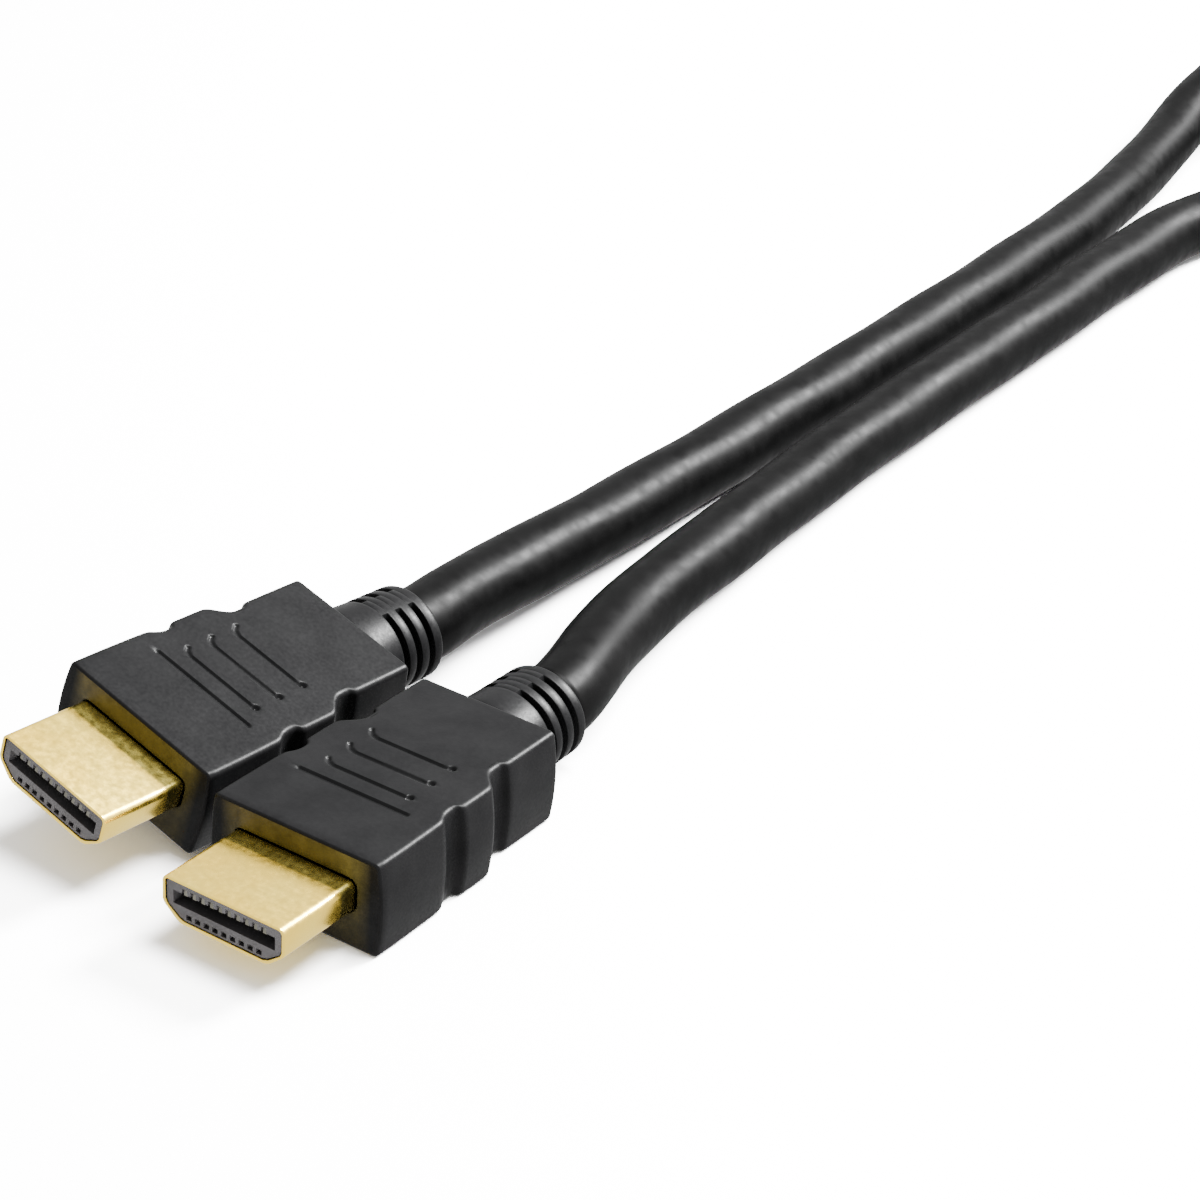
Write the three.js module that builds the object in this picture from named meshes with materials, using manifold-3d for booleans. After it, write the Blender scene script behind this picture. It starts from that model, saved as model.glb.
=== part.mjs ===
// HDMI cable: two type A plugs lying side by side on one free cord.
// Row frame, mm: origin on the floor under the middle of plug 1's overmould,
// +Y towards the cord, +Z up, -Y the way the plug is pushed in.
import * as THREE from 'three';
import { mergeVertices } from 'three/addons/utils/BufferGeometryUtils.js';
import Module from 'manifold-3d';

const wasm = await Module();
wasm.setup();

// ---- driving dimensions ----
const SHELL_W = 13.9, SHELL_H = 4.45, SHELL_SIDE = 2.6, SHELL_CHAMFER = 2.1;
const SHELL_WALL = 0.32, SHELL_OUT = 9.8, SHELL_IN = 5.0;
const BODY_H = 9.8, BODY_L = 28.6, BODY_BULGE = 0.5, BODY_FILLET = 0.6;
const POCKET_GAP = 0.25, POCKET_DEPTH = 5.5;
const SHELL_BASE_Z = (BODY_H - SHELL_H) / 2;
const AXIS_Z = BODY_H / 2;
const SLOT_W = 11.6, SLOT_TOP = 3.15, SLOT_LOW = 1.8, SLOT_DEPTH = 8.0; // heights from the shell's bottom
const INS_GAP = 0.1, INS_RECESS = 0.2;
const GROOVE_W = 0.62, CONTACT_W = 0.42, CONTACT_L = 7.0;
const COLLAR_END = 37.9, COLLAR_RY = 5.25, COLLAR_RZ = 4.85;
const SLOTS = [32.0, 33.85, 35.75], SLOT_LONG = 0.8, SLOT_DEEP = 0.85;
const CORD_D = 8.1, CORD_R = CORD_D / 2, GAP = 0.45;
const ORIGIN_X = 14; // the row's origin, behind the front face of plug 1
// plug 2 lies turned, rolled a little on its edge, with its tail pressed down by the cord
const P2 = { x: 1.87, y: 22.575, lift: 2.927, yaw: -4.384, pitch: 2.4, roll: 13.76 };
// the hank
const HANK_X0 = 265, HANK_RUN = 82, HANK_YC = 5.0;
const HANK_OUT = 22.0, HANK_HALF = HANK_OUT + CORD_R, HANK_TOP = 17.4, WAIST = 5.7;
const TIE_W = 12, TIE_T = 1.0;

// ---- helpers ----
const ID = new THREE.Matrix4();
function toManifold(geometry) {
  const g0 = geometry.clone();
  g0.deleteAttribute('normal');
  g0.deleteAttribute('uv');
  const g = mergeVertices(g0, 1e-4);
  return new wasm.Manifold(new wasm.Mesh({
    numProp: 3,
    vertProperties: new Float32Array(g.attributes.position.array),
    triVerts: new Uint32Array(g.index.array),
  }));
}
function toGeometry(m) {
  const mesh = m.getMesh();
  const g = new THREE.BufferGeometry();
  g.setAttribute('position', new THREE.BufferAttribute(new Float32Array(mesh.vertProperties), 3));
  g.setIndex(new THREE.BufferAttribute(new Uint32Array(mesh.triVerts), 1));
  g.computeVertexNormals();
  return g;
}
// plug frame (x to the cord, y to the left, z up) to row frame
const TO_ROW = new THREE.Matrix4().set(0, -1, 0, 0, 1, 0, 0, -ORIGIN_X, 0, 0, 1, 0, 0, 0, 0, 1);
function plug2Matrix() {
  const rad = Math.PI / 180;
  const m = new THREE.Matrix4().makeTranslation(P2.x, P2.y, P2.lift);
  m.multiply(new THREE.Matrix4().makeRotationZ(P2.yaw * rad));
  m.multiply(new THREE.Matrix4().makeRotationY(P2.pitch * rad));
  m.multiply(new THREE.Matrix4().makeRotationX(P2.roll * rad));
  return m;
}
// half-width of the overmould's top edge along its length: three sections with scallops between
const HALF = [
  [0, 9.42], [3, 9.42], [6, 9.36], [8.6, 9.28], [9.3, 9.18], [9.7, 8.95],
  [10.1, 8.72], [10.7, 8.52], [11.4, 8.42], [12.2, 8.42], [13.2, 8.52], [14.4, 8.72], [15.8, 8.98],
  [16.8, 9.1], [17.3, 9.02], [17.7, 8.75], [18.1, 8.35], [18.6, 7.95], [19.2, 7.65], [20.0, 7.5],
  [20.9, 7.55], [21.9, 7.7], [23, 7.8], [24.6, 7.84], [27.9, 7.82],
];
function bodyHalf(x) {
  for (let i = 1; i < HALF.length; i++) {
    if (x <= HALF[i][0]) {
      const [a, b] = [HALF[i - 1], HALF[i]];
      return a[1] + (b[1] - a[1]) * (x - a[0]) / (b[0] - a[0]);
    }
  }
  return HALF[HALF.length - 1][1];
}
// section of the shell as a D: y across, z up from its flat bottom
function shellProfile(inset) {
  const w = SHELL_W / 2 - inset, top = SHELL_H - inset, bot = inset;
  const r = Math.max(0.7 - inset, 0.25), k = 0.414 * inset;
  const sideLow = SHELL_H - SHELL_SIDE - 0.0;
  const wb = SHELL_W / 2 - SHELL_CHAMFER - 0.6 * inset;
  const pts = [];
  for (let i = 0; i <= 4; i++) {
    const a = i / 4 * Math.PI / 2;
    pts.push([w - r + r * Math.cos(a), top - r + r * Math.sin(a)]);
  }
  for (let i = 4; i >= 0; i--) {
    const a = i / 4 * Math.PI / 2;
    pts.push([-(w - r + r * Math.cos(a)), top - r + r * Math.sin(a)]);
  }
  pts.push([-w, sideLow + k], [-(w - 0.22), sideLow - 0.42 + k * 0.6], [-(wb + 0.42), bot + 0.2], [-(wb - 0.15), bot]);
  pts.push([wb - 0.15, bot], [wb + 0.42, bot + 0.2], [w - 0.22, sideLow - 0.42 + k * 0.6], [w, sideLow + k]);
  return pts;
}
// extrudes a (y, z) section along x from x0 to x1
function prismX(section, x0, x1, z0 = 0) {
  const s = new THREE.Shape(section.map(([y, z]) => new THREE.Vector2(y, z)));
  const g = new THREE.ExtrudeGeometry(s, { depth: x1 - x0, bevelEnabled: false });
  // shape x -> y, shape y -> z, depth -> x
  g.applyMatrix4(new THREE.Matrix4().set(0, 0, 1, x0, 1, 0, 0, 0, 0, 1, 0, z0, 0, 0, 0, 1));
  return g;
}
function box(x0, x1, y0, y1, z0, z1) {
  const g = new THREE.BoxGeometry(x1 - x0, y1 - y0, z1 - z0);
  g.translate((x0 + x1) / 2, (y0 + y1) / 2, (z0 + z1) / 2);
  return g;
}
// ---- overmould with its strain relief, one moulding: a loft of 40-sided rings ----
// one ring of the body: a flat top and bottom, rounded edges and sides that swell to the middle
function bodyRing(x, inset) {
  const a = bodyHalf(Math.min(x, 27.9)) - inset, h = BODY_H / 2 - inset, r = BODY_FILLET;
  const half = [];
  for (let i = -2; i <= 2; i++) {
    const v = i / 2 * (h - r);
    half.push([a + BODY_BULGE * (1 - (v / (BODY_H / 2)) ** 2), v]);
  }
  const foot = a + BODY_BULGE * (1 - ((h - r) / (BODY_H / 2)) ** 2);
  const arc = [];
  for (let i = 1; i <= 4; i++) {
    const t = i / 4 * Math.PI / 2;
    arc.push([foot - r + r * Math.cos(t), h - r + r * Math.sin(t)]);
  }
  const ring = [];
  for (const p of half) ring.push(p);
  for (const p of arc) ring.push(p);
  const top = arc[3][0];
  for (let i = 1; i < 8; i++) ring.push([top * (1 - i / 4), h]);
  for (const p of [...arc].reverse()) ring.push([-p[0], p[1]]);
  for (const p of [...half].reverse()) ring.push([-p[0], p[1]]);
  for (const p of arc) ring.push([-p[0], -p[1]]);
  for (let i = 1; i < 8; i++) ring.push([-top * (1 - i / 4), -h]);
  for (const p of [...arc].reverse()) ring.push([p[0], -p[1]]);
  return ring.map(([y, z]) => [x, y, z + AXIS_Z]);
}
const REF = bodyRing(24, 0);
function collarRing(x, ry, rz, deep = 0) {
  return REF.map(([, y, z]) => {
    const t = Math.atan2((z - AXIS_Z) / (BODY_H / 2), y / 8.3);
    const side = Math.abs(Math.cos(t)) > 0.26 ? deep : 0;
    return [x, (ry - side) * Math.cos(t), AXIS_Z + (rz - side) * Math.sin(t)];
  });
}
function loft(rings) {
  const pos = [], idx = [], n = rings[0].length;
  for (const r of rings) for (const p of r) pos.push(...p);
  for (let i = 0; i + 1 < rings.length; i++) {
    for (let k = 0; k < n; k++) {
      const a = i * n + k, b = i * n + (k + 1) % n, c = a + n, d = b + n;
      idx.push(a, b, c, b, d, c);
    }
  }
  const first = rings[0], last = rings[rings.length - 1];
  const mid = (r) => [r[0][0], 0, AXIS_Z];
  const m0 = pos.length / 3; pos.push(...mid(first));
  const m1 = pos.length / 3; pos.push(...mid(last));
  const off = (rings.length - 1) * n;
  for (let k = 0; k < n; k++) {
    idx.push(m0, (k + 1) % n, k);
    idx.push(m1, off + k, off + (k + 1) % n);
  }
  const g = new THREE.BufferGeometry();
  g.setAttribute('position', new THREE.BufferAttribute(new Float32Array(pos), 3));
  g.setIndex(idx);
  return g;
}
function overmould() {
  const rings = [bodyRing(0, 0.3), bodyRing(0.1, 0.12), bodyRing(0.35, 0)];
  for (const [x] of HALF) if (x > 0.5) rings.push(bodyRing(x, 0));
  rings.push(bodyRing(28.3, 0.08), bodyRing(BODY_L, 0.35));
  const c = (x, ry, rz, deep) => rings.push(collarRing(x, ry, rz, deep));
  c(28.85, 5.75, 4.72, 0);
  c(29.6, 5.5, COLLAR_RZ, 0);
  c(30.8, 5.32, COLLAR_RZ, 0);
  for (const x of SLOTS) {
    c(x, COLLAR_RY, COLLAR_RZ, 0);
    c(x + 0.06, COLLAR_RY, COLLAR_RZ, SLOT_DEEP);
    c(x + SLOT_LONG - 0.06, COLLAR_RY, COLLAR_RZ, SLOT_DEEP);
    c(x + SLOT_LONG, COLLAR_RY, COLLAR_RZ, 0);
  }
  c(COLLAR_END - 0.5, COLLAR_RY - 0.1, COLLAR_RZ - 0.05, 0);
  c(COLLAR_END - 0.12, COLLAR_RY - 0.3, COLLAR_RZ - 0.22, 0);
  c(COLLAR_END, COLLAR_RY - 0.6, COLLAR_RZ - 0.5, 0);
  const m = toManifold(loft(rings));
  return toGeometry(m.subtract(toManifold(prismX(shellProfile(-POCKET_GAP), -1, POCKET_DEPTH, SHELL_BASE_Z))));
}
function shell() {
  const outer = toManifold(prismX(shellProfile(0), -SHELL_OUT, SHELL_IN, SHELL_BASE_Z));
  const inner = toManifold(prismX(shellProfile(SHELL_WALL), -SHELL_OUT - 1, SHELL_IN + 1, SHELL_BASE_Z));
  return toGeometry(outer.subtract(inner));
}
function contactY(i, upper) {
  return upper ? (i - 4.5) * 1.0 : (i - 4) * 1.0;
}
function insulator() {
  let m = toManifold(prismX(shellProfile(SHELL_WALL + INS_GAP), -SHELL_OUT + INS_RECESS, SHELL_IN, SHELL_BASE_Z));
  const x0 = -SHELL_OUT - 1, x1 = -SHELL_OUT + SLOT_DEPTH, z = SHELL_BASE_Z;
  m = m.subtract(toManifold(box(x0, x1, -SLOT_W / 2, SLOT_W / 2, z + SLOT_LOW, z + SLOT_TOP)));
  for (let i = 0; i < 10; i++) {
    const y = contactY(i, true);
    m = m.subtract(toManifold(box(x0, x1 - 0.3, y - GROOVE_W / 2, y + GROOVE_W / 2, z + SLOT_TOP - 0.1, z + SLOT_TOP + 0.5)));
  }
  for (let i = 0; i < 9; i++) {
    const y = contactY(i, false);
    m = m.subtract(toManifold(box(x0, x1 - 0.3, y - GROOVE_W / 2, y + GROOVE_W / 2, z + 0.62, z + 1.14)));
  }
  return toGeometry(m);
}
function contact(i, upper) {
  const y = contactY(i, upper), z = SHELL_BASE_Z;
  const x0 = -SHELL_OUT + INS_RECESS + (upper ? 0.2 : 0.35);
  const [z0, z1] = upper ? [z + SLOT_TOP - 0.25, z + SLOT_TOP + 0.4] : [z + 0.72, z + 1.04];
  return box(x0, x0 + CONTACT_L, y - CONTACT_W / 2, y + CONTACT_W / 2, z0, z1);
}

// ---- the cord's route in the plug frame of plug 1 (x to the cord, y left, z up) ----
const M2 = plug2Matrix();
const exit1 = new THREE.Vector3(COLLAR_END + GAP, 0, AXIS_Z);
const exit2 = new THREE.Vector3(COLLAR_END + GAP, 0, AXIS_Z).applyMatrix4(M2);
const ROUTE_1 = [
  [exit1.x, 0, AXIS_Z], [exit1.x + 3, 0.18, AXIS_Z], [45.8, 1.25, 4.88], [51.9, 2.95, 4.8], [61.6, 4.85, 4.6], [71.2, 6.05, 4.4],
  [79.4, 6.6, 4.2], [96, 7.9, CORD_R], [122, 8.9, CORD_R], [156, 9.4, CORD_R], [181, 10.0, CORD_R], [198, 9.6, CORD_R],
  [212, 5.8, CORD_R], [226, -4.4, CORD_R], [237, -13.6, CORD_R], [245, HANK_YC - HANK_OUT + 0.1, CORD_R],
];
const ROUTE_2 = [
  [exit2.x, exit2.y, exit2.z], [exit2.x + 3, exit2.y - 0.03, exit2.z - 0.12], [47.4, 18.85, 5.75], [53, 19.08, 5.48],
  [60, 19.11, 5.13], [67.2, 19.06, 4.8], [74.6, 19.0, 4.5], [89.4, 19.05, 4.12], [115, 18.95, CORD_R], [151, 19.4, CORD_R],
  [177.6, 20.2, CORD_R], [200, 21.8, CORD_R], [222, 24.8, 4.8], [238, HANK_YC + HANK_OUT - 0.2, 7.1], [245, HANK_YC + HANK_OUT, 8.3],
];
function cordRun(route, steps) {
  const curve = new THREE.CatmullRomCurve3(route.map(([x, y, z]) => new THREE.Vector3(x, y, z)), false, 'centripetal');
  const s = new THREE.Shape();
  const n = 12;
  for (let i = 0; i < n; i++) {
    const a = (i + 0.5) / n * 2 * Math.PI, r = CORD_R;
    if (i === 0) s.moveTo(r * Math.cos(a), r * Math.sin(a)); else s.lineTo(r * Math.cos(a), r * Math.sin(a));
  }
  s.closePath();
  const g = new THREE.ExtrudeGeometry(s, { steps, extrudePath: curve, curveSegments: 1 });
  return g;
}
function hank() {
  const pts = [];
  const n = 16;
  const w = (t) => HANK_HALF - WAIST * Math.sin(Math.PI * t) ** 2;
  for (let i = 0; i <= n; i++) {
    const a = Math.PI / 2 + i / n * Math.PI;
    pts.push([HANK_X0 + HANK_HALF * Math.cos(a), HANK_YC + HANK_HALF * Math.sin(a)]);
  }
  for (let i = 1; i < 20; i++) pts.push([HANK_X0 + HANK_RUN * i / 20, HANK_YC - w(i / 20)]);
  for (let i = 0; i <= n; i++) {
    const a = -Math.PI / 2 + i / n * Math.PI;
    pts.push([HANK_X0 + HANK_RUN + HANK_HALF * Math.cos(a), HANK_YC + HANK_HALF * Math.sin(a)]);
  }
  for (let i = 19; i > 0; i--) pts.push([HANK_X0 + HANK_RUN * i / 20, HANK_YC + w(i / 20)]);
  const s = new THREE.Shape(pts.map(([x, y]) => new THREE.Vector2(x, y)));
  let m = toManifold(new THREE.ExtrudeGeometry(s, { depth: HANK_TOP, bevelEnabled: false }));
  const xm = HANK_X0 + HANK_RUN / 2;
  m = m.subtract(toManifold(box(xm - TIE_W / 2 - 1, xm + TIE_W / 2 + 1, HANK_YC - 60, HANK_YC + 60, -1, TIE_T + GAP)));
  return toGeometry(m);
}
function tie() {
  const xm = HANK_X0 + HANK_RUN / 2;
  const hw = HANK_HALF - WAIST + 0.75, top = HANK_TOP + GAP;
  const ring = (h, z0, z1, r) => {
    const s = [];
    for (const [cx, cz, a0] of [[h - r, z1 - r, 0], [-(h - r), z1 - r, 1], [-(h - r), z0 + r, 2], [h - r, z0 + r, 3]]) {
      for (let i = 0; i <= 3; i++) {
        const a = (a0 + i / 3) * Math.PI / 2;
        s.push([HANK_YC + cx + r * Math.cos(a), cz + r * Math.sin(a)]);
      }
    }
    return s;
  };
  const outer = toManifold(prismX(ring(hw + TIE_T, 0, top + TIE_T, 2.0), xm - TIE_W / 2, xm + TIE_W / 2));
  const inner = toManifold(prismX(ring(hw, TIE_T, top, 1.0), xm - TIE_W, xm + TIE_W));
  return toGeometry(outer.subtract(inner));
}

// ---- materials ----
const plastic = () => new THREE.MeshStandardMaterial({ color: 0x2a2a2b, roughness: 0.5, metalness: 0 });
const gold = () => new THREE.MeshStandardMaterial({ color: 0xd9b86c, roughness: 0.25, metalness: 1 });
const black = () => new THREE.MeshStandardMaterial({ color: 0x121212, roughness: 0.6, metalness: 0 });
const cordMat = () => new THREE.MeshStandardMaterial({ color: 0x161616, roughness: 0.4, metalness: 0 });
const strap = () => new THREE.MeshStandardMaterial({ color: 0x1a1a1a, roughness: 0.95, metalness: 0 });

const group = new THREE.Group();
group.name = 'hdmi_cable';
function put(name, geometry, material, matrix) {
  const g = geometry.clone();
  g.applyMatrix4(matrix || ID);
  g.applyMatrix4(TO_ROW);
  const mesh = new THREE.Mesh(g, material);
  mesh.name = name;
  group.add(mesh);
}
const bodyG = overmould(), shellG = shell(), insG = insulator();
for (const [k, m] of [['1', ID], ['2', M2]]) {
  put(`plug_${k}_overmould`, bodyG, plastic(), m);
  put(`plug_${k}_shell`, shellG, gold(), m);
  put(`plug_${k}_insulator`, insG, black(), m);
  for (let i = 0; i < 10; i++) put(`plug_${k}_contact_upper_${i + 1}`, contact(i, true), gold(), m);
  for (let i = 0; i < 9; i++) put(`plug_${k}_contact_lower_${i + 1}`, contact(i, false), gold(), m);
}
put('cord_run_1', cordRun(ROUTE_1, 16), cordMat());
put('cord_run_2', cordRun(ROUTE_2, 16), cordMat());
put('cord_hank', hank(), cordMat());
put('cord_tie', tie(), strap());

export default group;
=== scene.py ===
import bpy, bmesh, math
from mathutils import Vector, Matrix


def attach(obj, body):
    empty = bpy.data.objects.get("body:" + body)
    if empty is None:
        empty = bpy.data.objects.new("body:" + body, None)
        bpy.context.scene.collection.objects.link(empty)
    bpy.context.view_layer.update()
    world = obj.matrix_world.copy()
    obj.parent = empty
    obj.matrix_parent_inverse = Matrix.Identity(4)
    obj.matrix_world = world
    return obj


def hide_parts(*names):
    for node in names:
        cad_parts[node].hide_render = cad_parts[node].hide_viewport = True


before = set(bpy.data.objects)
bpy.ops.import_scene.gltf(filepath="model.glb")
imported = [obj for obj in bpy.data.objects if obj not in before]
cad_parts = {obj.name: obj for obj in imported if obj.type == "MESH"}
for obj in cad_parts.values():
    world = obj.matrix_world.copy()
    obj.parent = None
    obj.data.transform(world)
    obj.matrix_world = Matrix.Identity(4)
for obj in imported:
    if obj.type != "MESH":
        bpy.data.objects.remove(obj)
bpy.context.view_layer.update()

MM = 0.001


def row(x, y, z):
    """From the frame of plug 1 in mm (x to the cord, y to its left, z up) to the row's frame in metres."""
    return Vector((-y * MM, (x - 14.0) * MM, z * MM))


# ---------------------------------------------------------------- camera
FOCAL_PX = 3268.6
C = row(-188.992, -154.828, 167.646)
YAW, ELEV, ROLL = 0.5813939, 0.5004565, 0.0640324
fwd_l = Vector((math.cos(YAW) * math.cos(ELEV), math.sin(YAW) * math.cos(ELEV), -math.sin(ELEV)))


def turn(v):
    return Vector((-v.y, v.x, v.z))


fwd = turn(fwd_l).normalized()
right = fwd.cross(Vector((0, 0, 1))).normalized()
up = right.cross(fwd).normalized()
c, s = math.cos(ROLL), math.sin(ROLL)
right, up = (c * right + s * up), (-s * right + c * up)
cam_data = bpy.data.cameras.new("camera")
cam_data.sensor_width = 36.0
cam_data.lens = FOCAL_PX / 1200.0 * 36.0
cam_data.clip_start = 0.01
cam_data.clip_end = 20.0
cam = bpy.data.objects.new("camera", cam_data)
bpy.context.scene.collection.objects.link(cam)
m = Matrix((right, up, -fwd)).transposed().to_4x4()
m.translation = C
cam.matrix_world = m
bpy.context.scene.camera = cam

# ---------------------------------------------------------------- plug placement
BODY_H, AXIS_Z, COLLAR_END, CORD_D, GAP = 9.8, 4.9, 37.9, 8.1, 0.45
CORD_R = CORD_D / 2
M1 = Matrix.Identity(4)
M2 = (Matrix.Translation((1.87, 22.575, 2.927)) @ Matrix.Rotation(math.radians(-4.384), 4, "Z")
      @ Matrix.Rotation(math.radians(2.4), 4, "Y") @ Matrix.Rotation(math.radians(13.76), 4, "X"))
PLUGS = {"1": M1, "2": M2}

# ---------------------------------------------------------------- the cord's route
HANK_X0, HANK_RUN, HANK_YC, OUT, INN, WAIST = 265.0, 82.0, 5.0, 22.0, 13.85, 5.65
L1, L2 = CORD_R, CORD_R + 7.9
e2 = M2 @ Vector((COLLAR_END + GAP, 0, AXIS_Z))
c2 = M2 @ Vector((COLLAR_END + 0.04, 0, AXIS_Z))
R1 = CORD_R
ROUTE_1 = [
    (COLLAR_END + 0.04, 0, AXIS_Z), (COLLAR_END + GAP, 0.01, AXIS_Z), (COLLAR_END + GAP + 3, 0.18, AXIS_Z), (45.8, 1.25, 4.88),
    (51.9, 2.95, 4.8), (61.6, 4.85, 4.6), (71.2, 6.05, 4.4), (79.4, 6.6, 4.2), (96, 7.9, R1), (122, 8.9, R1), (156, 9.4, R1),
    (181, 10.0, R1), (198, 9.6, R1), (212, 5.8, R1), (226, -4.4, R1), (237, -13.6, R1), (245, HANK_YC - OUT + 0.1, R1),
]
ROUTE_2 = [
    tuple(c2), tuple(e2), (e2.x + 3, e2.y - 0.03, e2.z - 0.12), (47.4, 18.85, 5.75), (53, 19.08, 5.48), (60, 19.11, 5.13),
    (67.2, 19.06, 4.8), (74.6, 19.0, 4.5), (89.4, 19.05, 4.12), (115, 18.95, R1), (151, 19.4, R1), (177.6, 20.2, R1),
    (200, 21.8, R1), (222, 24.8, 4.8), (238, HANK_YC + OUT - 0.2, 7.1), (245, HANK_YC + OUT, 8.3),
]


def smooth(t):
    t = max(0.0, min(1.0, t))
    return t * t * (3 - 2 * t)


def run(sign, off, z, forward):
    out = []
    for i in range(1, 12):
        t = i / 12 if forward else 1 - i / 12
        k = math.sin(math.pi * t) ** 2
        out.append((HANK_X0 + HANK_RUN * t, HANK_YC + sign * (off - WAIST * k), z + 1.3 * k * k))
    return out


def end(right_side, ra, rb, za, zb, rise=1.0):
    """A half turn at one end of the hank."""
    out = []
    cx = HANK_X0 + (HANK_RUN if right_side else 0)
    for i in range(0, 13):
        t = i / 12
        a = (-math.pi / 2 + math.pi * t) if right_side else (math.pi / 2 + math.pi * t)
        r = ra + (rb - ra) * smooth(t)
        z = za + (zb - za) * smooth(t / rise)
        out.append((cx + r * math.cos(a), HANK_YC + r * math.sin(a), z))
    return out


def hank():
    p = []
    p += [(255, HANK_YC - OUT, L1), (HANK_X0, HANK_YC - OUT, L1)]
    p += run(-1, OUT, L1, True) + end(True, OUT, OUT, L1, L1) + run(1, OUT, L1, False) + end(False, OUT, INN, L1, L1)
    p += run(-1, INN, L1, True) + end(True, INN, INN, L1, L1) + run(1, INN, L1, False) + end(False, INN, INN, L1, L2, 0.6)
    p += run(-1, INN, L2, True) + end(True, INN, INN, L2, L2) + run(1, INN, L2, False) + end(False, INN, OUT, L2, L2)
    p += run(-1, OUT, L2, True) + end(True, OUT, OUT, L2, L2) + run(1, OUT, L2, False)
    p += [(HANK_X0, HANK_YC + OUT, L2), (257, HANK_YC + OUT, L2 - 0.5), (251, HANK_YC + OUT, L2 - 2.0)]
    return p


def catmull(points, per=10):
    """Centripetal Catmull-Rom through the points."""
    P = [Vector(p) for p in points]
    P = [P[0] * 2 - P[1]] + P + [P[-1] * 2 - P[-2]]
    out = []
    for i in range(1, len(P) - 2):
        p0, p1, p2, p3 = P[i - 1:i + 3]
        t0 = 0.0
        t1 = t0 + max((p1 - p0).length, 1e-6) ** 0.5
        t2 = t1 + max((p2 - p1).length, 1e-6) ** 0.5
        t3 = t2 + max((p3 - p2).length, 1e-6) ** 0.5
        for j in range(per):
            t = t1 + (t2 - t1) * j / per
            A1 = p0 * ((t1 - t) / (t1 - t0)) + p1 * ((t - t0) / (t1 - t0))
            A2 = p1 * ((t2 - t) / (t2 - t1)) + p2 * ((t - t1) / (t2 - t1))
            A3 = p2 * ((t3 - t) / (t3 - t2)) + p3 * ((t - t2) / (t3 - t2))
            B1 = A1 * ((t2 - t) / (t2 - t0)) + A2 * ((t - t0) / (t2 - t0))
            B2 = A2 * ((t3 - t) / (t3 - t1)) + A3 * ((t - t1) / (t3 - t1))
            out.append(B1 * ((t2 - t) / (t2 - t1)) + B2 * ((t - t1) / (t2 - t1)))
    out.append(P[-2])
    return out


def resample(points, step):
    out, carry = [points[0]], 0.0
    for a, b in zip(points, points[1:]):
        d = (b - a).length
        while carry + d >= step:
            a = a + (b - a) * ((step - carry) / d)
            d = (b - a).length
            out.append(a)
            carry = 0.0
        carry += d
    if (points[-1] - out[-1]).length > step * 0.3:
        out.append(points[-1])
    else:
        out[-1] = points[-1]
    return out


controls = ROUTE_1 + hank() + ROUTE_2[::-1]
line = resample(catmull(controls, 12), 1.25)
LENGTH = sum((b - a).length for a, b in zip(line, line[1:])) * MM
print("cord length", round(LENGTH, 4))


def tube(name, pts, radius, sides=28, lump=True):
    """A tube mesh round the points (mm), with the cord's slow spiral swell."""
    bm = bmesh.new()
    n = len(pts)
    tangents = [(pts[min(i + 1, n - 1)] - pts[max(i - 1, 0)]).normalized() for i in range(n)]
    side = tangents[0].cross(Vector((0, 0, 1))).normalized()
    rings = []
    s = 0.0
    for i, p in enumerate(pts):
        t = tangents[i]
        if i:
            s += (p - pts[i - 1]).length
        side = (side - t * side.dot(t)).normalized()
        nor = t.cross(side)
        ends = min(1.0, s / 12.0, (LENGTH / MM - s) / 12.0) if lump else 0.0
        ring = []
        for k in range(sides):
            a = 2 * math.pi * k / sides
            r = radius
            if lump:
                r += max(0.0, ends) * (0.055 * math.sin(2 * (a - s * 0.145)) + 0.035 * math.sin(a + s * 0.21 + 1.0) - 0.05)
            ring.append(bm.verts.new(row(*(p + (side * math.cos(a) + nor * math.sin(a)) * r))))
        rings.append(ring)
    for A, B in zip(rings, rings[1:]):
        for k in range(sides):
            bm.faces.new((A[k], A[(k + 1) % sides], B[(k + 1) % sides], B[k]))
    bm.faces.new(rings[0][::-1])
    bm.faces.new(rings[-1])
    bmesh.ops.recalc_face_normals(bm, faces=bm.faces[:])
    me = bpy.data.meshes.new(name)
    bm.to_mesh(me)
    bm.free()
    for f in me.polygons:
        f.use_smooth = len(f.vertices) == 4
    ob = bpy.data.objects.new(name, me)
    bpy.context.scene.collection.objects.link(ob)
    return ob


# ---------------------------------------------------------------- materials
def new_mat(name):
    mat = bpy.data.materials.new(name)
    mat.use_nodes = True
    nt = mat.node_tree
    nt.nodes.clear()
    out = nt.nodes.new("ShaderNodeOutputMaterial")
    b = nt.nodes.new("ShaderNodeBsdfPrincipled")
    nt.links.new(b.outputs[0], out.inputs[0])
    tc = nt.nodes.new("ShaderNodeTexCoord")
    return mat, nt, b, tc


def noise(nt, tc, scale, detail=3.0, rough=0.5):
    n = nt.nodes.new("ShaderNodeTexNoise")
    n.inputs["Scale"].default_value = scale
    n.inputs["Detail"].default_value = detail
    n.inputs["Roughness"].default_value = rough
    nt.links.new(tc.outputs["Object"], n.inputs["Vector"])
    return n


def ramp(nt, src, stops):
    r = nt.nodes.new("ShaderNodeValToRGB")
    e = r.color_ramp.elements
    while len(e) > 1:
        e.remove(e[-1])
    e[0].position, e[0].color = stops[0][0], (*stops[0][1], 1)
    for p, col in stops[1:]:
        x = e.new(p)
        x.color = (*col, 1)
    nt.links.new(src, r.inputs[0])
    return r


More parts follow.
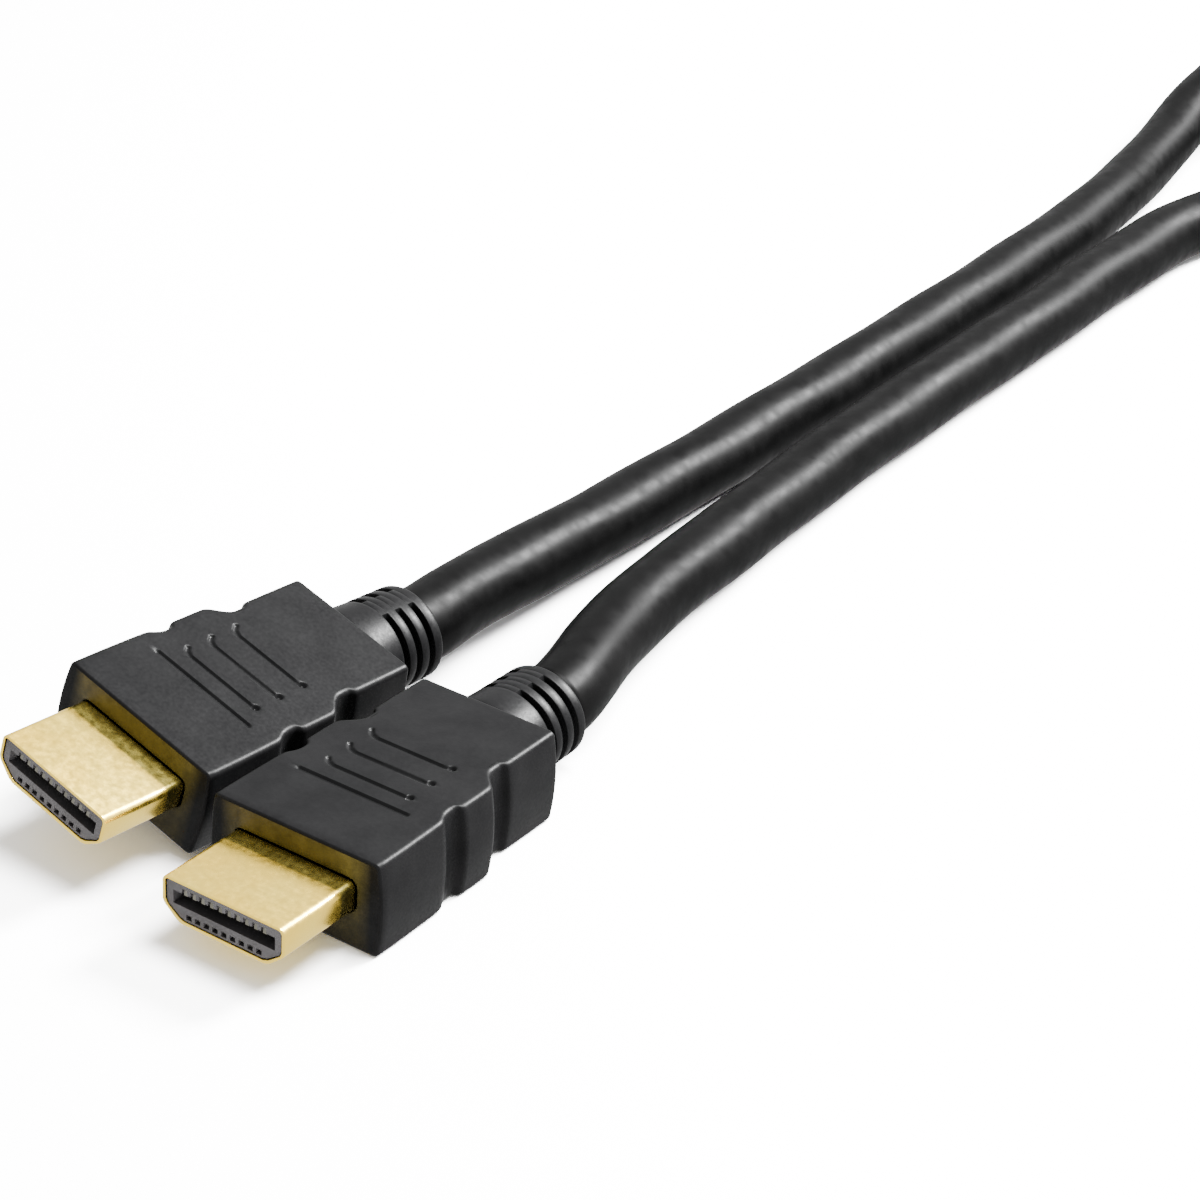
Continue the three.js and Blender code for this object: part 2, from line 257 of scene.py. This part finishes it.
def maprange(nt, src, a, b, lo, hi):
    r = nt.nodes.new("ShaderNodeMapRange")
    r.inputs["From Min"].default_value, r.inputs["From Max"].default_value = a, b
    r.inputs["To Min"].default_value, r.inputs["To Max"].default_value = lo, hi
    nt.links.new(src, r.inputs["Value"])
    return r


def bump(nt, b, src, strength, distance):
    n = nt.nodes.new("ShaderNodeBump")
    n.inputs["Strength"].default_value = strength
    n.inputs["Distance"].default_value = distance
    nt.links.new(src, n.inputs["Height"])
    nt.links.new(n.outputs[0], b.inputs["Normal"])
    return n


def moulded(name, lo, hi, r_lo, r_hi, bump_s=0.25, grain=2600.0):
    mat, nt, b, tc = new_mat(name)
    n1 = noise(nt, tc, 260.0, 4.0)
    n2 = noise(nt, tc, grain, 2.0, 0.6)
    col = ramp(nt, n1.outputs["Fac"], [(0.3, lo), (0.7, hi)])
    nt.links.new(col.outputs[0], b.inputs["Base Color"])
    rr = maprange(nt, n2.outputs["Fac"], 0.3, 0.7, r_lo, r_hi)
    nt.links.new(rr.outputs[0], b.inputs["Roughness"])
    bump(nt, b, n2.outputs["Fac"], bump_s, 0.00004)
    return mat


PLASTIC = ((0.0014, 0.0014, 0.0015), (0.0024, 0.0024, 0.0025))
GOLD = ((1.0, 0.68, 0.085), (1.0, 0.735, 0.125))
# the next colour is a painted reflection: the moulding's dark face mirrored in the gold shell near the moulding
OLIVE_REFLECTION_PAINT = ((0.28, 0.23, 0.05), (0.4, 0.325, 0.075))
# the next colour is a painted reflection: the gold shell mirrored in the moulding's front face
GOLD_REFLECTION_PAINT = ((0.027, 0.021, 0.004), (0.05, 0.039, 0.008))
SPEC = 0.045
plastic = moulded("moulded_plastic", *PLASTIC, 0.33, 0.45)
plastic.node_tree.nodes["Principled BSDF"].inputs["Specular IOR Level"].default_value = SPEC
dark_spec = 0.12
dark = moulded("insulator_plastic", (0.02, 0.0185, 0.0185), (0.03, 0.028, 0.029), 0.45, 0.6)
dark.node_tree.nodes["Principled BSDF"].inputs["Specular IOR Level"].default_value = dark_spec
jacket = moulded("cord_jacket", (0.0004, 0.0004, 0.0004), (0.0008, 0.0008, 0.0008), 0.34, 0.5, 0.12, 420.0)
jacket.node_tree.nodes["Principled BSDF"].inputs["Specular IOR Level"].default_value = 0.022


def gold(name, lo, hi, r_lo, r_hi):
    mat, nt, b, tc = new_mat(name)
    b.inputs["Metallic"].default_value = 1.0
    n1 = noise(nt, tc, 180.0, 3.0)
    n2 = noise(nt, tc, 1400.0, 3.0, 0.6)
    col = ramp(nt, n1.outputs["Fac"], [(0.3, lo), (0.7, hi)])
    nt.links.new(col.outputs[0], b.inputs["Base Color"])
    rr = maprange(nt, n2.outputs["Fac"], 0.3, 0.7, r_lo, r_hi)
    nt.links.new(rr.outputs[0], b.inputs["Roughness"])
    bump(nt, b, n2.outputs["Fac"], 0.12, 0.00002)
    return mat


contact_gold = gold("contact_plate", (0.13, 0.125, 0.1), (0.2, 0.19, 0.16), 0.35, 0.45)
strap_mat = moulded("tie_strap", (0.0022, 0.0022, 0.0024), (0.0055, 0.0055, 0.0058), 0.8, 0.95, 0.9, 1800.0)
strap_mat.node_tree.nodes["Principled BSDF"].inputs["Specular IOR Level"].default_value = 0.05


def assign(ob, mat):
    if ob.data.materials:
        for i in range(len(ob.data.materials)):
            ob.data.materials[i] = mat
    else:
        ob.data.materials.append(mat)


# ---------------------------------------------------------------- cord first
cord = tube("cable_cord", line, CORD_R)
assign(cord, jacket)
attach(cord, "root")
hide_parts("cord_run_1", "cord_run_2", "cord_hank")

# ---------------------------------------------------------------- plugs
HALF = [
    (0, 9.42), (3, 9.42), (6, 9.38), (9.0, 9.3), (9.6, 9.2), (10.1, 8.95), (10.7, 8.72), (11.3, 8.62), (11.9, 8.64),
    (12.2, 8.8), (12.6, 9.12), (13.0, 9.19), (15, 9.19), (16.6, 9.15), (17.1, 8.95), (17.8, 8.35), (18.5, 7.78), (19.2, 7.45),
    (19.9, 7.42), (20.5, 7.46), (20.75, 7.6), (21.1, 7.8), (21.6, 7.85), (24.6, 7.85), (28.6, 7.82),
]


def body_half(x):
    """The top edge's half-width, smooth between the table's points."""
    P = HALF
    if x <= P[0][0]:
        return P[0][1]
    for i in range(1, len(P)):
        if x <= P[i][0]:
            def slope(k):
                if k <= 0 or k >= len(P) - 1:
                    return 0.0
                d0 = (P[k][1] - P[k - 1][1]) / (P[k][0] - P[k - 1][0])
                d1 = (P[k + 1][1] - P[k][1]) / (P[k + 1][0] - P[k][0])
                return 0.0 if d0 * d1 <= 0 else 2 * d0 * d1 / (d0 + d1)
            h = P[i][0] - P[i - 1][0]
            t = (x - P[i - 1][0]) / h
            a, b = P[i - 1][1], P[i][1]
            m0, m1 = slope(i - 1) * h, slope(i) * h
            return a * (2 * t ** 3 - 3 * t * t + 1) + m0 * (t ** 3 - 2 * t * t + t) + b * (3 * t * t - 2 * t ** 3) + m1 * (t ** 3 - t * t)
    return P[-1][1]


def seg(px, py, ax, ay, bx, by):
    dx, dy = bx - ax, by - ay
    t = max(0.0, min(1.0, ((px - ax) * dx + (py - ay) * dy) / (dx * dx + dy * dy)))
    return math.hypot(px - ax - t * dx, py - ay - t * dy)


GRIP_LINES = [
    ([(8.15, -6.1), (8.15, 6.4)], 0.26, 0.24),
    ([(10.45, -4.0), (10.45, 4.3), (10.75, 5.0), (11.2, 5.35)], 0.24, 0.22),
    ([(13.55, -4.0), (13.5, 4.2), (13.85, 5.0), (14.4, 5.4)], 0.24, 0.22),
    ([(16.75, -3.9), (16.75, 4.2), (17.1, 5.0), (17.7, 5.45)], 0.24, 0.22),
]
DOTS = [(10.6, -4.55), (13.75, -4.55), (17.0, -4.45)]


def relief(x, y):
    """How deep the top is cut at a point: grip lines with a small dimple at their right ends."""
    deep = 0.0
    for pts, half, d in GRIP_LINES:
        if x < pts[0][0] - 1.2 or x > pts[-1][0] + 1.2:
            continue
        dist = min(seg(x, y, *pts[i], *pts[i + 1]) for i in range(len(pts) - 1))
        deep = max(deep, d * (1 - smooth((dist - half * 0.45) / (half * 0.9))))
    for cx, cy in DOTS:
        dist = math.hypot(x - cx, y - cy)
        if dist < 0.8:
            deep = max(deep, 0.42 * (1 - smooth((dist - 0.18) / 0.34)))
    return deep


FILLET, BULGE = 0.62, 0.5
TOP_Y = []
y = 6.9
while y > -6.95:
    TOP_Y.append(round(y, 3))
    fine = 4.9 > -y > 3.7 or 5.9 > y > 3.9 or 6.8 > abs(y) > 5.8
    y -= 0.12 if fine else 0.34


def body_ring(x, inset):
    a, h, r = body_half(x) - inset, BODY_H / 2 - inset, FILLET
    v = [(-1 + 2 * i / 12) * (h - r) for i in range(13)]
    dip = smooth((x - 9.3) / 1.2) * (1 - smooth((x - 12.1) / 0.45)) + smooth((x - 17.0) / 1.5) * (1 - smooth((x - 20.6) / 0.5))
    side = [(a + (BULGE - 0.3 * dip) * (1 - (q / (BODY_H / 2)) ** 2), q) for q in v]
    foot = side[-1][0]
    arc = [(foot - r + r * math.cos(i / 7 * math.pi / 2), h - r + r * math.sin(i / 7 * math.pi / 2)) for i in range(1, 8)]
    top = arc[-1][0]
    grid = [top - (top - 6.9) * i / 3 for i in range(1, 3)] + TOP_Y + [-(top - (top - 6.9) * i / 3) for i in (2, 1)]
    ring = side + arc + [(q, h - (relief(x, q) if inset < 0.05 else 0.0)) for q in grid]
    ring += [(-p, q) for p, q in reversed(arc)] + [(-p, q) for p, q in reversed(side)] + [(-p, -q) for p, q in arc]
    ring += [(q, -h) for q in reversed(grid)]
    ring += [(p, -q) for p, q in reversed(arc)]
    return [Vector((x, p, q + AXIS_Z)) for p, q in ring]


def strip(bm, rings, matrix, cap0=True, cap1=True, mat=0):
    vs = [[bm.verts.new(row(*(matrix @ p))) for p in r] for r in rings]
    n = len(rings[0])
    fs = []
    for A, B in zip(vs, vs[1:]):
        for k in range(n):
            fs.append(bm.faces.new((A[k], A[(k + 1) % n], B[(k + 1) % n], B[k])))
    if cap0:
        fs.append(bm.faces.new(vs[0][::-1]))
    if cap1:
        fs.append(bm.faces.new(vs[-1]))
    for f in fs:
        f.material_index = mat
    return vs


def finish(bm, name, angle=35.0):
    bmesh.ops.recalc_face_normals(bm, faces=bm.faces[:])
    lim = math.radians(angle)
    for e in bm.edges:
        e.smooth = not (len(e.link_faces) == 2 and e.calc_face_angle(0) > lim)
    for f in bm.faces:
        f.smooth = True
    me = bpy.data.meshes.new(name)
    bm.to_mesh(me)
    bm.free()
    ob = bpy.data.objects.new(name, me)
    bpy.context.scene.collection.objects.link(ob)
    return ob


def d_profile(inset, segs=8):
    """The shell's D section (y, z above its bottom), the same as the CAD's with finer corners."""
    W, H, SIDE, CH = 13.9, 4.45, 2.6, 2.1
    w, top, bot = W / 2 - inset, H - inset, inset
    r, k = max(0.7 - inset, 0.25), 0.414 * inset
    low, wb = H - SIDE, W / 2 - CH - 0.6 * inset
    right = [(w - r + r * math.cos(i / segs * math.pi / 2), top - r + r * math.sin(i / segs * math.pi / 2)) for i in range(segs + 1)]
    left = [(-p, q) for p, q in reversed(right)]
    corner = [(w, low + k), (w - 0.22, low - 0.42 + k * 0.6), (wb + 0.42, bot + 0.2), (wb - 0.15, bot)]
    fine = []
    for i, (p, q) in enumerate(corner):
        if i in (1, 2):
            a0, a1 = corner[i - 1], corner[i + 1]
            for t in (0.25, 0.1):
                fine.append((p + (a0[0] - p) * t, q + (a0[1] - q) * t))
            for t in (0.1, 0.25):
                fine.append((p + (a1[0] - p) * t, q + (a1[1] - q) * t))
        else:
            fine.append((p, q))
    return right + left + [(-p, q) for p, q in fine] + list(reversed(fine))


SHELL_Z = (BODY_H - 4.45) / 2


def d_ring(x, inset):
    return [Vector((x, p, q + SHELL_Z)) for p, q in d_profile(inset)]


BRIDGE, BRIDGE_HALF = math.radians(8), math.radians(16)


def collar_ring(x, ry, rz, deep=0.0, n=144):
    out = []
    for k in range(n):
        a = 2 * math.pi * k / n
        d = 0.0
        if deep:
            for c0 in (BRIDGE, BRIDGE + math.pi):
                off = abs((a - c0 + math.pi) % (2 * math.pi) - math.pi)
                if off < math.pi / 2:
                    d = deep * smooth((off - BRIDGE_HALF) / math.radians(5))
        out.append(Vector((x, (ry - d) * math.sin(a), AXIS_Z + (rz - d) * math.cos(a))))
    return out


def grip(name, matrix):
    bm = bmesh.new()
    # body
    xs = [0.62 + 0.38 * i for i in range(1, 19)]
    for lo, hi in ((7.6, 8.75), (9.95, 11.75), (13.0, 14.9), (16.25, 18.25)):
        xs += [lo + 0.1 * i for i in range(int((hi - lo) / 0.1) + 1)]
    xs += [9.0, 9.3, 9.6, 11.95, 12.1, 12.2, 12.3, 12.4, 12.5, 12.6, 12.75, 12.9, 15.3, 15.7, 16.0, 18.5, 18.8, 19.1, 19.5, 19.9, 20.2, 20.4, 20.55,
           20.65, 20.75, 20.85, 20.95, 21.05, 21.2, 21.4, 21.7, 22.5, 23.5, 24.6, 26, 27.2, 27.8]
    rings = []
    R0 = 0.32
    for i in range(6):
        t = i / 6 * math.pi / 2
        rings.append(body_ring(R0 - R0 * math.cos(t), R0 - R0 * math.sin(t)))
    for x in sorted(set(round(v, 3) for v in xs if v > R0 + 0.05)):
        rings.append(body_ring(x, 0.0))
    R1b = 0.4
    for i in range(7):
        t = i / 6 * math.pi / 2
        rings.append(body_ring(28.6 - R1b + R1b * math.sin(t), R1b - R1b * math.cos(t)))
    strip(bm, rings, matrix, cap0=False, cap1=True)
    # front face with the pocket's mouth: from the outline to the D hole
    front = rings[0]
    n = len(front)
    hole = d_ring(0.0, -0.15)
    cy, cz = 0.0, SHELL_Z + 2.3

    def on_hole(p, x):
        ang = math.atan2(p.z - cz, p.y - cy)
        best = None
        for i in range(len(hole)):
            a, b = hole[i], hole[(i + 1) % len(hole)]
            dx, dz = b.y - a.y, b.z - a.z
            ux, uz = math.cos(ang), math.sin(ang)
            det = ux * (-dz) + dx * uz
            if abs(det) < 1e-9:
                continue
            t = ((a.y - cy) * (-dz) + dx * (a.z - cz)) / det
            s_ = (ux * (a.z - cz) - uz * (a.y - cy)) / det
            if t > 0 and -1e-6 <= s_ <= 1 + 1e-6:
                best = t if best is None else min(best, t)
        t = best or 6.0
        return Vector((x, cy + t * math.cos(ang), cz + t * math.sin(ang)))
    inner = [on_hole(p, 0.0) for p in front]
    levels = [[p.lerp(q, f) for p, q in zip(front, inner)] for f in (0.0, 0.25, 0.5, 0.75, 0.97)]
    levels += [[Vector((0.03, q.y, q.z)) for q in inner], [Vector((0.6, q.y, q.z)) for q in inner], [Vector((5.4, q.y, q.z)) for q in inner]]
    # material slot 1 is the front face with its painted reflection of the gold shell
    strip(bm, levels[:6], matrix, cap0=False, cap1=False, mat=1)
    strip(bm, levels[5:], matrix, cap0=False, cap1=True)
    # strain relief
    cr = []
    prof = [(27.0, 6.1, 4.62), (28.3, 6.05, 4.7), (28.62, 5.98, 4.76), (28.8, 5.78, 4.8), (29.2, 5.58, 4.83), (29.8, 5.45, 4.85), (30.8, 5.33, 4.85), (31.6, 5.27, 4.85)]
    for x, ry, rz in prof:
        cr.append(collar_ring(x, ry, rz))
    for i, x in enumerate((32.0, 33.85, 35.75)):
        ry, rz = 5.25 - 0.03 * i, 4.85 - 0.03 * i
        w, dp, e = 0.8, 1.0, 0.1
        cr += [collar_ring(x - e, ry, rz), collar_ring(x - e * 0.3, ry - 0.03, rz - 0.03, 0.0), collar_ring(x, ry - 0.03, rz - 0.03, e), collar_ring(x + 0.04, ry, rz, dp),
               collar_ring(x + w - 0.04, ry, rz, dp), collar_ring(x + w, ry - 0.03, rz - 0.03, e), collar_ring(x + w + e * 0.3, ry - 0.03, rz - 0.03, 0.0), collar_ring(x + w + e, ry, rz)]
    for i in range(7):
        t = i / 6 * math.pi / 2
        r = 0.45
        cr.append(collar_ring(COLLAR_END - r + r * math.sin(t), 5.17 - r + r * math.cos(t), 4.76 - r + r * math.cos(t)))
    strip(bm, cr, matrix)
    bmesh.ops.remove_doubles(bm, verts=bm.verts[:], dist=2e-6)
    return finish(bm, name, 40.0)


def shell(name, matrix):
    bm = bmesh.new()
    out = [d_ring(4.9, 0.0), d_ring(0.0, 0.0), d_ring(-4.0, 0.0), d_ring(-9.62, 0.0)]
    r, wall = 0.15, 0.32
    for i in range(1, 8):
        t = math.pi * i / 8
        out.append(d_ring(-9.8 + 0.16 - 0.16 * math.sin(t), 0.16 - 0.16 * math.cos(t)))
    out += [d_ring(-9.62, wall), d_ring(4.9, wall)]
    strip(bm, out, matrix, cap0=False, cap1=False)
    vs = bm.verts
    bmesh.ops.bridge_loops(bm, edges=[e for e in bm.edges if len(e.link_faces) == 1])
    return finish(bm, name, 40.0)


def sub(nt, a, b, op="SUBTRACT"):
    n = nt.nodes.new("ShaderNodeMath")
    n.operation = op
    for i, v in enumerate((a, b)):
        if v is None:
            continue
        if isinstance(v, (int, float)):
            n.inputs[i].default_value = v
        else:
            nt.links.new(v, n.inputs[i])
    return n.outputs[0]


def mixc(nt, fac, a, b):
    n = nt.nodes.new("ShaderNodeMix")
    n.data_type = "RGBA"
    for k, v in ((0, fac), (6, a), (7, b)):
        if isinstance(v, tuple):
            n.inputs[k].default_value = (*v, 1)
        elif isinstance(v, (int, float)):
            n.inputs[k].default_value = v
        else:
            nt.links.new(v, n.inputs[k])
    return n.outputs[2]


def local_xyz(nt, tc, matrix):
    """Object coordinates turned back to a plug's own frame in mm."""
    inv = (Matrix(((0, -1, 0, 0), (1, 0, 0, -14), (0, 0, 1, 0), (0, 0, 0, 1))) @ matrix).inverted()
    euler = inv.to_euler("XYZ")
    mp = nt.nodes.new("ShaderNodeMapping")
    mp.inputs["Scale"].default_value = (1000, 1000, 1000)
    mp.inputs["Rotation"].default_value = euler
    mp.inputs["Location"].default_value = inv.to_translation()
    nt.links.new(tc.outputs["Object"], mp.inputs["Vector"])
    sp = nt.nodes.new("ShaderNodeSeparateXYZ")
    nt.links.new(mp.outputs[0], sp.inputs[0])
    return sp.outputs[0], sp.outputs[1], sp.outputs[2]


def gilt_with_painted_light(name, matrix):
    """Gold plate, with a painted reflection of the moulding's dark face as a dull band near the moulding, and a painted
    shadow line where the shell meets the pocket.
    """
    mat, nt, b, tc = new_mat(name)
    b.inputs["Metallic"].default_value = 1.0
    X, Y, Z = local_xyz(nt, tc, matrix)
    n1 = noise(nt, tc, 180.0, 3.0)
    n2 = noise(nt, tc, 1400.0, 3.0, 0.6)
    n3 = noise(nt, tc, 620.0, 3.0, 0.6)
    col = ramp(nt, n1.outputs["Fac"], [(0.3, GOLD[0]), (0.7, GOLD[1])])
    # painted reflection: the last 2 mm of the shell before the moulding take the mirrored dark face's dull colour
    band = maprange(nt, X, -2.2, -1.9, 0.0, 1.0)
    olive_reflection_paint = ramp(nt, n3.outputs["Fac"], [(0.3, OLIVE_REFLECTION_PAINT[0]), (0.7, OLIVE_REFLECTION_PAINT[1])])
    c1 = mixc(nt, band.outputs[0], col.outputs[0], olive_reflection_paint.outputs[0])
    # painted shadow: the shell turns near-black from 0.1 mm before the moulding inward, where it enters the pocket's
    # gap
    deep = maprange(nt, X, -0.16, -0.08, 0.0, 1.0)
    c1 = mixc(nt, deep.outputs[0], c1, (0.012, 0.008, 0.003))
    nt.links.new(c1, b.inputs["Base Color"])
    rr = maprange(nt, n2.outputs["Fac"], 0.3, 0.7, 0.2, 0.3)
    nt.links.new(rr.outputs[0], b.inputs["Roughness"])
    return mat


def front_face_painted_reflection(name, matrix):
    """The moulding's front face, with a painted reflection of the gold shell in its base colour close to the shell."""
    mat, nt, b, tc = new_mat(name)
    X, Y, Z = local_xyz(nt, tc, matrix)
    # mask of the painted reflection: strongest just above the shell and fading upward, with a weaker patch beside the
    # shell's sides
    up = sub(nt, Z, SHELL_Z + 4.45)
    over = maprange(nt, up, 0.0, 2.9, 1.0, 0.55)
    above = maprange(nt, up, -0.6, 0.1, 0.0, 1.0)
    inside = maprange(nt, sub(nt, Y, None, "ABSOLUTE"), 6.2, 7.6, 1.0, 0.0)
    f1 = sub(nt, sub(nt, over.outputs[0], above.outputs[0], "MULTIPLY"), inside.outputs[0], "MULTIPLY")
    out = maprange(nt, sub(nt, sub(nt, Y, None, "ABSOLUTE"), 6.95), 0.15, 1.7, 0.55, 0.0)
    low = maprange(nt, up, -4.2, -0.2, 0.4, 1.0)
    f2 = sub(nt, out.outputs[0], low.outputs[0], "MULTIPLY")
    f = sub(nt, f1, f2, "MAXIMUM")
    n1 = noise(nt, tc, 700.0, 4.0, 0.6)
    gold_reflection_paint = ramp(nt, n1.outputs["Fac"], [(0.3, GOLD_REFLECTION_PAINT[0]), (0.7, GOLD_REFLECTION_PAINT[1])])
    base = ramp(nt, n1.outputs["Fac"], [(0.3, PLASTIC[0]), (0.7, PLASTIC[1])])
    nt.links.new(mixc(nt, f, base.outputs[0], gold_reflection_paint.outputs[0]), b.inputs["Base Color"])
    n2 = noise(nt, tc, 2600.0, 2.0, 0.6)
    rr = maprange(nt, n2.outputs["Fac"], 0.3, 0.7, 0.4, 0.52)
    nt.links.new(rr.outputs[0], b.inputs["Roughness"])
    b.inputs["Specular IOR Level"].default_value = SPEC
    bump(nt, b, n2.outputs["Fac"], 0.25, 0.00004)
    return mat


for k, matrix in PLUGS.items():
    g = grip("plug_%s_grip" % k, matrix)
    g.data.materials.append(plastic)
    g.data.materials.append(front_face_painted_reflection("moulding_front_painted_reflection_" + k, matrix))
    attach(g, "root")
    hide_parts("plug_%s_overmould" % k)
    sh = shell("plug_%s_sleeve" % k, matrix)
    assign(sh, gilt_with_painted_light("gold_plate_painted_light_" + k, matrix))
    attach(sh, "root")
    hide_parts("plug_%s_shell" % k)

# ---------------------------------------------------------------- the hank's strap
def band_loop(half, z0, z1, r, crown=0.0):
    """A rounded ring in the (y, z) plane with its outward normals."""
    pts = []
    corners = [(half - r, z1 - r, 0), (-(half - r), z1 - r, 1), (-(half - r), z0 + r, 2), (half - r, z0 + r, 3)]
    for j, (cy, cz, q) in enumerate(corners):
        for i in range(9):
            a = (q + i / 8) * math.pi / 2
            pts.append((cy + r * math.cos(a), cz + r * math.sin(a), math.cos(a), math.sin(a)))
        ny, nz, _ = corners[(j + 1) % 4]
        a = (q + 1) * math.pi / 2
        p0 = pts[-1]
        p1 = (ny + r * math.cos(a), nz + r * math.sin(a))
        for i in range(1, 10):
            t = i / 10
            dip = crown * math.sin(math.pi * t) ** 2 if j == 0 else 0.0
            pts.append((p0[0] + (p1[0] - p0[0]) * t, p0[1] + (p1[1] - p0[1]) * t - dip, math.cos(a), math.sin(a)))
    return pts


def band_section(width, thick):
    """A strap's section: across (x) and out, with rounded edges."""
    r = thick * 0.42
    out = []
    for cx, cn, q in ((width / 2 - r, thick - r, 0), (-(width / 2 - r), thick - r, 1), (-(width / 2 - r), r, 2), (width / 2 - r, r, 3)):
        for i in range(5):
            a = (q + i / 4) * math.pi / 2
            out.append((cx + r * math.cos(a), cn + r * math.sin(a)))
    return out


def band(name):
    xm = HANK_X0 + HANK_RUN / 2
    bm = bmesh.new()
    rings = []
    for y_, z_, ny, nz in band_loop(21.25, 0.85, 17.95, 3.2, 0.25):
        rings.append([row(xm + u, HANK_YC + y_ + ny * v, z_ + nz * v) for u, v in band_section(12.0, 0.8)])
    vs = [[bm.verts.new(p) for p in r] for r in rings]
    n = len(vs[0])
    for i in range(len(vs)):
        A, B = vs[i], vs[(i + 1) % len(vs)]
        for k in range(n):
            bm.faces.new((A[k], A[(k + 1) % n], B[(k + 1) % n], B[k]))
    # the tail laid back over the top, with a rounded tip
    stops = [(16.5, 0.25), (15.5, 0.05), (14.0, 0.0)] + [(14.0 - 2.0 * i, 0.0) for i in range(1, 10)] + [(-5.4, 0.0), (-6.6, 0.0), (-7.5, 0.0), (-8.2, 0.0), (-8.6, 0.0)]
    rings = []
    for y_, sink in stops:
        w = 11.3
        if y_ < -4.0:
            w = 11.3 * math.sqrt(max(0.03, 1 - ((-4.0 - y_) / 4.7) ** 2))
        z_ = 18.42 - sink - 0.22 * math.sin(math.pi * max(0.0, min(1.0, (y_ + 18) / 36))) ** 2
        rings.append([row(xm + u, HANK_YC + y_, z_ + v) for u, v in band_section(w, 0.55)])
    vs = [[bm.verts.new(p) for p in r] for r in rings]
    for A, B in zip(vs, vs[1:]):
        for k in range(n):
            bm.faces.new((A[k], A[(k + 1) % n], B[(k + 1) % n], B[k]))
    bm.faces.new(vs[0][::-1])
    bm.faces.new(vs[-1])
    return finish(bm, name, 50.0)


tie_band = band("tie_band")
assign(tie_band, strap_mat)
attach(tie_band, "root")
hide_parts("cord_tie")

# ---------------------------------------------------------------- CAD nodes' finishes
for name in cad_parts:
    ob = bpy.data.objects.get(name)
    if ob is None:
        continue
    if "insulator" in name:
        assign(ob, dark)
    elif "contact" in name:
        assign(ob, contact_gold)

# ---------------------------------------------------------------- stage and light
fm = bpy.data.meshes.new("floor")
S = 6.0
fm.from_pydata([(-S, -S, 0), (S, -S, 0), (S, S, 0), (-S, S, 0)], [], [(0, 1, 2, 3)])
floor = bpy.data.objects.new("floor", fm)
bpy.context.scene.collection.objects.link(floor)
floor_mat, nt, b, tc = new_mat("floor_white")
n1 = noise(nt, tc, 3.0, 2.0)
col = ramp(nt, n1.outputs["Fac"], [(0.3, (0.95, 0.95, 0.95)), (0.7, (0.965, 0.965, 0.965))])
nt.links.new(col.outputs[0], b.inputs["Base Color"])
b.inputs["Roughness"].default_value = 0.9
assign(floor, floor_mat)
floor.visible_glossy = False

world = bpy.data.worlds.new("studio")
bpy.context.scene.world = world
world.use_nodes = True
world.node_tree.nodes["Background"].inputs[0].default_value = (1, 1, 1, 1)
world.node_tree.nodes["Background"].inputs[1].default_value = 1.55


def area(name, loc, target, size, power, size_y=None):
    d = bpy.data.lights.new(name, "AREA")
    d.shape = "RECTANGLE"
    d.size, d.size_y = size, size_y or size
    d.energy = power
    o = bpy.data.objects.new(name, d)
    bpy.context.scene.collection.objects.link(o)
    o.location = loc
    o.rotation_euler = (Vector(target) - Vector(loc)).to_track_quat("-Z", "Y").to_euler()
    return o


area("key", (0.24, 0.22, 0.9), (0, 0.06, 0), 0.4, 85.0)
area("rim", (0.27, 0.67, 0.54), (0, 0.03, 0), 0.24, 95.0)
